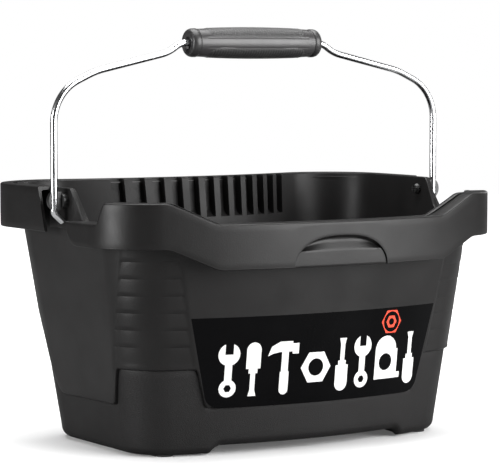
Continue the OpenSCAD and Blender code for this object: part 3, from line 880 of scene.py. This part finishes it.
# ---------------------------------------------------------------- tub
def make_tub():
    """The moulding: walls, both skirts and the plates beside the bail's legs."""
    seg, frac = columns()
    points, faces, guard_end, inside_from = tub_walls(seg, frac)
    top = RIM_BACK - 0.3
    plate = round_outline([(PLATE_LOW_Y, PLATE_Z), (PLATE_BACK_Y, PLATE_Z), (PLATE_BACK_Y, top),
                           (PLATE_TOP_Y, top), (PLATE_LOW_Y, RIM_LOW)],
                          [0.5, 0.5, 0.5, 3.0, 1.0])
    side = prism_x(plate, PLATE_OUT - PLATE_SHOWN, PLATE_OUT, 0.9)
    parts = [(points, faces), front_skirt(), back_skirt(), side, mirror_x(side)]
    tub = join_parts("tub_moulding", parts)
    dress(tub, TUB, GUARD, INSIDE)
    # The base guard and the inside have their own grain. The sweep's last two faces
    # close it under the base and in the middle of the floor.
    swept = len(faces) - 2
    for k in range(swept):
        row = k // len(seg)
        if row < guard_end:
            tub.data.polygons[k].material_index = 1
        elif row >= inside_from:
            tub.data.polygons[k].material_index = 2
    tub.data.polygons[swept].material_index = 1
    tub.data.polygons[swept + 1].material_index = 2
    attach(tub, "bucket")
    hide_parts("tub")


def film_half(z):
    """Half the label's width, which grows with the walls."""
    return 97 + 0.235 * z - FILM_EDGE


def make_film():
    """The gloss label as a thin sheet wrapped on the bowed front."""
    low = LABEL_Z[0] + FILM_EDGE
    rows = np.linspace(low, LABEL_Z[1] - FILM_EDGE, 40)
    cols = 61
    sine, cosine = math.sin(FRONT_TURN), math.cos(FRONT_TURN)
    rings = []
    for side_inset in (FILM_BACK, FILM_FRONT):
        for z in rows:
            below = max(0.0, low + FILM_CORNER - z)
            pull = FILM_CORNER - math.sqrt(max(0.0, FILM_CORNER ** 2 - below ** 2))
            half = film_half(z) - pull
            a, front, _, radius = (float(v) for v in walls_at(z))
            r = radius - side_inset
            rf = (a - radius + r * sine) / sine
            cf = front + radius - r * cosine + rf * cosine
            x = np.linspace(-half, half, cols)
            y = cf - np.sqrt(rf ** 2 - x ** 2)
            rings.append(np.stack([x, y, np.full(cols, z)], axis=1))
    points, faces = np.concatenate(rings), sheet_faces(len(rows), cols)
    film = build_mesh("label_film_sheet", points, faces, 30)
    dress(film, FILM)
    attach(film, "bucket")
    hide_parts("label_film")


def make_wire():
    wire = build_mesh("bail_wire_smooth", *wire_mesh())
    dress(wire, WIRE)
    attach(wire, "bail")
    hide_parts("bail_wire")


def ribbed_pad(sign, name, node):
    """A soft pad in the barrel's window, with fine cross ribs."""
    xs = np.linspace(-PAD_HALF, PAD_HALF, 199)
    span = np.linspace(-1, 1, 41)
    outer, inner = [], []

    def put(points, x, radius, angle):
        points.append((x, -radius * math.sin(angle), GRIP_Z + sign * radius * math.cos(angle)))

    for x in xs:
        end = np.clip((PAD_HALF + 0.5 - abs(x)) / PAD_CORNER, 0.02, 1.0)
        r = float(barrel(x))
        widest = math.acos(PAD_EDGE / r)
        half = widest * (0.42 + 0.58 * math.sqrt(1 - (1 - end) ** 2))
        rib = RIB_H * (0.5 + 0.5 * math.cos(2 * math.pi * x / RIB_PITCH))
        for s in span:
            fall = float(smooth(1.0, 0.93, abs(s)) * smooth(0.0, 0.25, end))
            proud = 0.16 + rib * float(smooth(0.98, 0.85, abs(s)))
            put(outer, x, r + 0.02 + fall * proud, s * half)
            put(inner, x, r - PAD_T, s * half)
    faces = sheet_faces(len(xs), len(span), sign > 0)
    pad = build_mesh(name, np.array(outer + inner), faces, 60)
    dress(pad, PAD)
    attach(pad, "grip")
    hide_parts(node)


def parting_lines(x, angle):
    """A fine groove beside each pad, as a change of the barrel's radius."""
    height = np.cos(angle) * barrel(x)
    near = np.exp(-(((np.abs(height) - 4.4) / 0.35) ** 2))
    return -0.35 * near * (np.abs(x) < 52)


def cap_profile():
    """The right cap's outline, as (x, radius) pairs from its inner face outward."""
    r = float(barrel(CORE_HALF))
    cap = [(0, BORE_R), (0, r - 0.3), (0.3, r + 0.1), (0.9, r + 0.5), (3.0, r + 0.5)]
    cap += [(3 + 5 * sine, r - 2.5 + 3 * cosine) for sine, cosine in quarter_turn(9, 1)]
    cap += [(8, WIRE_R + 3.4), (7.4, WIRE_R + 2.4), (5.2, WIRE_R + 1.2), (5, BORE_R)]
    return [(CORE_HALF + x, radius) for x, radius in cap]


def make_grip():
    xs = np.linspace(-CORE_HALF, CORE_HALF, 150)
    profile = [(-CORE_HALF, BORE_R), (-CORE_HALF, 11.0)]
    profile += [(x, float(barrel(x))) for x in xs]
    profile += [(CORE_HALF, 11.0), (CORE_HALF, BORE_R)]
    pts, faces = lathe_x(profile, GRIP_Z, 128, parting_lines)
    core = build_mesh("grip_core_barrel", pts, faces, 50)
    dress(core, GRIP)
    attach(core, "grip")
    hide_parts("grip_core")
    ribbed_pad(1, "grip_pad_upper_ribbed", "grip_pad_upper")
    ribbed_pad(-1, "grip_pad_lower_ribbed", "grip_pad_lower")
    for side, node in ((1, "grip_cap_right"), (-1, "grip_cap_left")):
        part = lathe_x(cap_profile(), GRIP_Z, 96)
        if side < 0:
            part = mirror_x(part)
        obj = build_mesh(node + "_turned", part[0], part[1], 40)
        dress(obj, CAP)
        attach(obj, "grip")
        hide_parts(node)


make_tub()
make_film()
make_wire()
make_grip()

# The CAD's own meshes.
for node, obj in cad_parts.items():
    if node.startswith("foot_pad"):
        dress(obj, RUBBER)
    elif node.startswith("pivot_button"):
        dress(obj, BUTTON)
    elif node == "label_print":
        dress(obj, WHITE)
    elif node == "label_emblem":
        dress(obj, RED)


# ---------------------------------------------------------------- floor and light
def make_floor():
    n, size = 24, 6000.0
    pts = [((i / n - 0.5) * size, (j / n - 0.5) * size, -0.05)
           for j in range(n + 1) for i in range(n + 1)]
    floor = build_mesh("studio_floor", np.array(pts), grid_faces(n + 1, n + 1, False))
    dress(floor, floor_material())


def area_light(name, place, aim, size, power):
    """A rectangular lamp at place that faces aim. Places are in metres."""
    data = bpy.data.lights.new(name, "AREA")
    data.shape = "RECTANGLE"
    data.size, data.size_y = size
    data.energy = power
    lamp = link(bpy.data.objects.new(name, data))
    lamp.location = place
    direction = np.array(aim) - np.array(place)
    flat = math.hypot(direction[0], direction[1])
    lamp.rotation_euler = (math.atan2(flat, -direction[2]), 0,
                           math.atan2(direction[1], direction[0]) - math.pi / 2)


make_floor()
area_light("front_soft", (1.15, -1.9, 0.75), (0, 0, 0.18), (1.9, 1.6), 96)
area_light("left_strip", (-2.3, 0.0, 0.5), (-0.1, 0, 0.2), (0.7, 1.0), 46)
area_light("top_soft", (0.1, 0.3, 2.3), (0, 0, 0.1), (2.2, 2.2), 90)
area_light("right_edge", (1.9, 1.0, 0.9), (0.1, 0, 0.2), (0.6, 1.4), 6)


def make_world():
    """A white backdrop that lights the object only a little."""
    world = bpy.data.worlds.new("studio")
    bpy.context.scene.world = world
    world.use_nodes = True
    nodes, links = world.node_tree.nodes, world.node_tree.links
    seen = nodes["Background"]
    seen.inputs["Color"].default_value = (1, 1, 1, 1)
    seen.inputs["Strength"].default_value = 1.0
    fill = nodes.new("ShaderNodeBackground")
    fill.inputs["Color"].default_value = (1, 1, 1, 1)
    fill.inputs["Strength"].default_value = 0.07
    path = nodes.new("ShaderNodeLightPath")
    mix = nodes.new("ShaderNodeMixShader")
    links.new(path.outputs["Is Camera Ray"], mix.inputs["Fac"])
    links.new(fill.outputs["Background"], mix.inputs[1])
    links.new(seen.outputs["Background"], mix.inputs[2])
    links.new(mix.outputs["Shader"], nodes["World Output"].inputs["Surface"])


make_world()
bpy.context.scene.view_settings.view_transform = "Standard"
